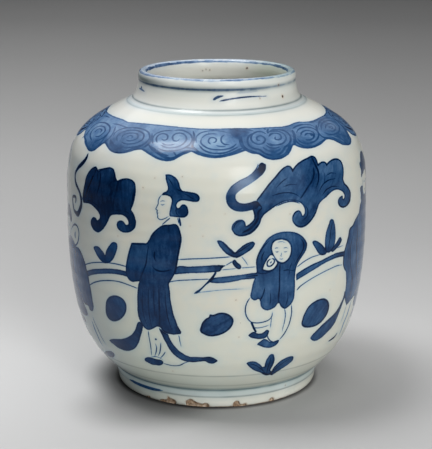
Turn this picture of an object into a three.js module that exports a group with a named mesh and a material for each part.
// Small porcelain storage jar (guan form) of mid sixteenth-century type, underglaze blue,
// thrown in sections that are luted together with slip. Millimetres, +Z up, origin on the
// jar's axis at the plane it stands on.
import * as THREE from 'three';

// ---------------------------------------------------------------- driving dimensions
const HEIGHT = 147.5;          // foot to crest of the lip
const SEGMENTS = 60;           // facets round every turned piece

const FOOT_BOTTOM_R = 45.7;    // outer edge of the unglazed standing ring
const FOOT_INNER_R = 41.2;     // inner edge of the standing ring
const FOOT_TOP_Z = 9.6;        // where the foot meets the body
const FOOT_TOP_R = 48.6;
const RECESS_Z = 5.5;          // underside of the base disc: depth of the recess
const LEDGE_R = 40.6;          // inner edge of the ledge that carries the disc
const DISC_R = 42.4;           // radius of the base disc
const DISC_TOP_Z = 11.0;       // top of the disc at its edge

const WAIST_Z = 76.0;          // joint between the two thrown halves of the body
const BELLY_R = 69.5;          // largest outer radius
const WAIST_LAND_R = 67.4;     // inner edge of the flat land where the halves touch
const WAIST_INNER_R = 65.4;    // inner wall at the joint

const NECK_Z = 134.2;          // joint between shoulder and neck
const NECK_BASE_R = 40.0;
const NECK_LAND_R = 38.0;      // inner edge of the land where neck and shoulder touch

const LIP_R = 36.1;            // outside of the rounded lip
const MOUTH_R = 31.8;          // clear radius of the mouth

// ---------------------------------------------------------------- section outlines [r, z]
// Outer skin of the lower half, from the foot joint up to the waist.
const lowerOuter = [
  [FOOT_TOP_R, FOOT_TOP_Z], [50.6, 11.2], [53.0, 13.4], [56.6, 17.6], [59.3, 21.6],
  [61.9, 26.3], [63.9, 31.5], [65.6, 37.5], [67.0, 44.5], [68.1, 52.0], [69.0, 62.0],
  [BELLY_R, WAIST_Z],
];
// Inner skin of the lower half, from the waist down to the disc's edge.
const lowerInner = [
  [WAIST_INNER_R, WAIST_Z - 1.4], [65.0, 64.0], [64.0, 52.0], [62.0, 40.0], [59.1, 30.5],
  [54.9, 22.5], [50.4, 17.2], [46.2, 14.2], [DISC_R, 12.2],
];
// Outer skin of the upper half, from the waist up over the shoulder to the neck joint.
const upperOuter = [
  [BELLY_R, WAIST_Z], [BELLY_R, 87.0], [69.4, 95.0], [69.2, 101.0], [68.4, 107.0],
  [67.0, 112.2], [64.9, 116.6], [62.1, 120.4], [58.7, 123.5], [54.8, 126.2],
  [50.4, 128.8], [46.0, 131.1], [42.6, 132.9], [NECK_BASE_R, NECK_Z],
];
// Inner skin of the upper half, from the neck joint down to the waist.
const upperInner = [
  [36.4, 132.6], [39.8, 130.4], [43.8, 128.0], [48.2, 125.3], [52.4, 122.6], [56.0, 119.8],
  [58.9, 116.9], [61.3, 113.6], [63.1, 109.8], [64.4, 105.2], [65.2, 99.0],
  [65.5, 90.0], [WAIST_INNER_R, WAIST_Z + 1.4],
];
// Outer skin of the neck and lip, from the joint up to the crest.
const neckOuter = [
  [NECK_BASE_R, NECK_Z], [38.4, 135.6], [37.3, 137.4], [36.6, 139.4], [36.2, 141.2],
  [36.0, 143.0], [LIP_R, 144.2], [LIP_R, 145.3], [35.8, 146.3], [35.3, 147.0],
  [34.6, 147.4], [33.9, HEIGHT],
];
// Inner skin of the neck, from the crest down to the joint.
const neckInner = [
  [33.2, 147.3], [32.6, 146.8], [32.1, 145.9], [MOUTH_R, 144.4], [31.9, 141.0],
  [32.5, 138.2], [34.2, 136.0],
];

const footOutline = [
  [FOOT_INNER_R, 0], [FOOT_BOTTOM_R, 0], [46.4, 0.7], [47.3, 4.2], [48.2, 7.8],
  [FOOT_TOP_R, FOOT_TOP_Z], [DISC_R, FOOT_TOP_Z], [DISC_R, RECESS_Z], [LEDGE_R, RECESS_Z],
];
const discOutline = [
  [0, RECESS_Z], [LEDGE_R, RECESS_Z], [DISC_R, RECESS_Z], [DISC_R, FOOT_TOP_Z],
  [DISC_R, DISC_TOP_Z], [36.0, 10.6], [20.0, 10.3], [0, 10.2],
];
// Slip fillet worked into the corner between the disc and the wall of the body.
const footLutingOutline = [
  [36.0, 10.6], [DISC_R, DISC_TOP_Z], [DISC_R, 12.2], [46.2, 14.2], [50.4, 17.2],
  [45.2, 14.5], [40.8, 12.3],
];
const lowerOutline = [
  ...lowerOuter, [WAIST_LAND_R, WAIST_Z], ...lowerInner, [DISC_R, DISC_TOP_Z], [DISC_R, FOOT_TOP_Z],
];
// Slip that fills the V between the two halves and stands a little proud inside.
const waistLutingOutline = [
  [WAIST_LAND_R, WAIST_Z], [WAIST_INNER_R, WAIST_Z + 1.4], [64.9, WAIST_Z + 1.0],
  [64.7, WAIST_Z], [64.9, WAIST_Z - 1.0], [WAIST_INNER_R, WAIST_Z - 1.4],
];
const upperOutline = [...upperOuter, [NECK_LAND_R, NECK_Z], ...upperInner, [WAIST_LAND_R, WAIST_Z]];
const neckLutingOutline = [
  [NECK_LAND_R, NECK_Z], [34.2, 136.0], [33.9, 134.9], [34.6, 133.4], [36.4, 132.6],
];
const neckOutline = [...neckOuter, ...neckInner, [NECK_LAND_R, NECK_Z]];

// ---------------------------------------------------------------- helpers
function signedArea(outline) {
  let a = 0;
  for (let i = 0; i < outline.length; i++) {
    const [x0, y0] = outline[i];
    const [x1, y1] = outline[(i + 1) % outline.length];
    a += x0 * y1 - x1 * y0;
  }
  return a / 2;
}

// A turned piece: the outline goes counter-clockwise in the r-z plane, closed on itself
// unless it starts and ends on the axis.
function turned(outline) {
  const points = (signedArea(outline) > 0 ? outline : [...outline].reverse())
    .map(([r, z]) => new THREE.Vector2(r, z));
  const onAxis = points[0].x === 0 && points[points.length - 1].x === 0;
  if (!onAxis) points.push(points[0].clone());
  const geometry = new THREE.LatheGeometry(points, SEGMENTS);
  geometry.rotateX(Math.PI / 2);
  return geometry;
}

const glaze = (r, g, b) => new THREE.MeshStandardMaterial({
  color: new THREE.Color(r, g, b), roughness: 0.12, metalness: 0.0,
});
const bareClay = (r, g, b) => new THREE.MeshStandardMaterial({
  color: new THREE.Color(r, g, b), roughness: 0.75, metalness: 0.0,
});

const jar = new THREE.Group();
function add(name, outline, material) {
  const mesh = new THREE.Mesh(turned(outline), material);
  mesh.name = name;
  jar.add(mesh);
}

// ---------------------------------------------------------------- the jar
add('foot_ring', footOutline, glaze(0.70, 0.70, 0.66));
add('base_disc', discOutline, glaze(0.66, 0.67, 0.64));
add('foot_luting', footLutingOutline, bareClay(0.68, 0.65, 0.58));
add('lower_body', lowerOutline, glaze(0.70, 0.71, 0.67));
add('waist_luting', waistLutingOutline, bareClay(0.66, 0.64, 0.58));
add('upper_body', upperOutline, glaze(0.72, 0.73, 0.70));
add('neck_luting', neckLutingOutline, bareClay(0.66, 0.64, 0.58));
add('neck', neckOutline, glaze(0.68, 0.69, 0.65));

export default jar;
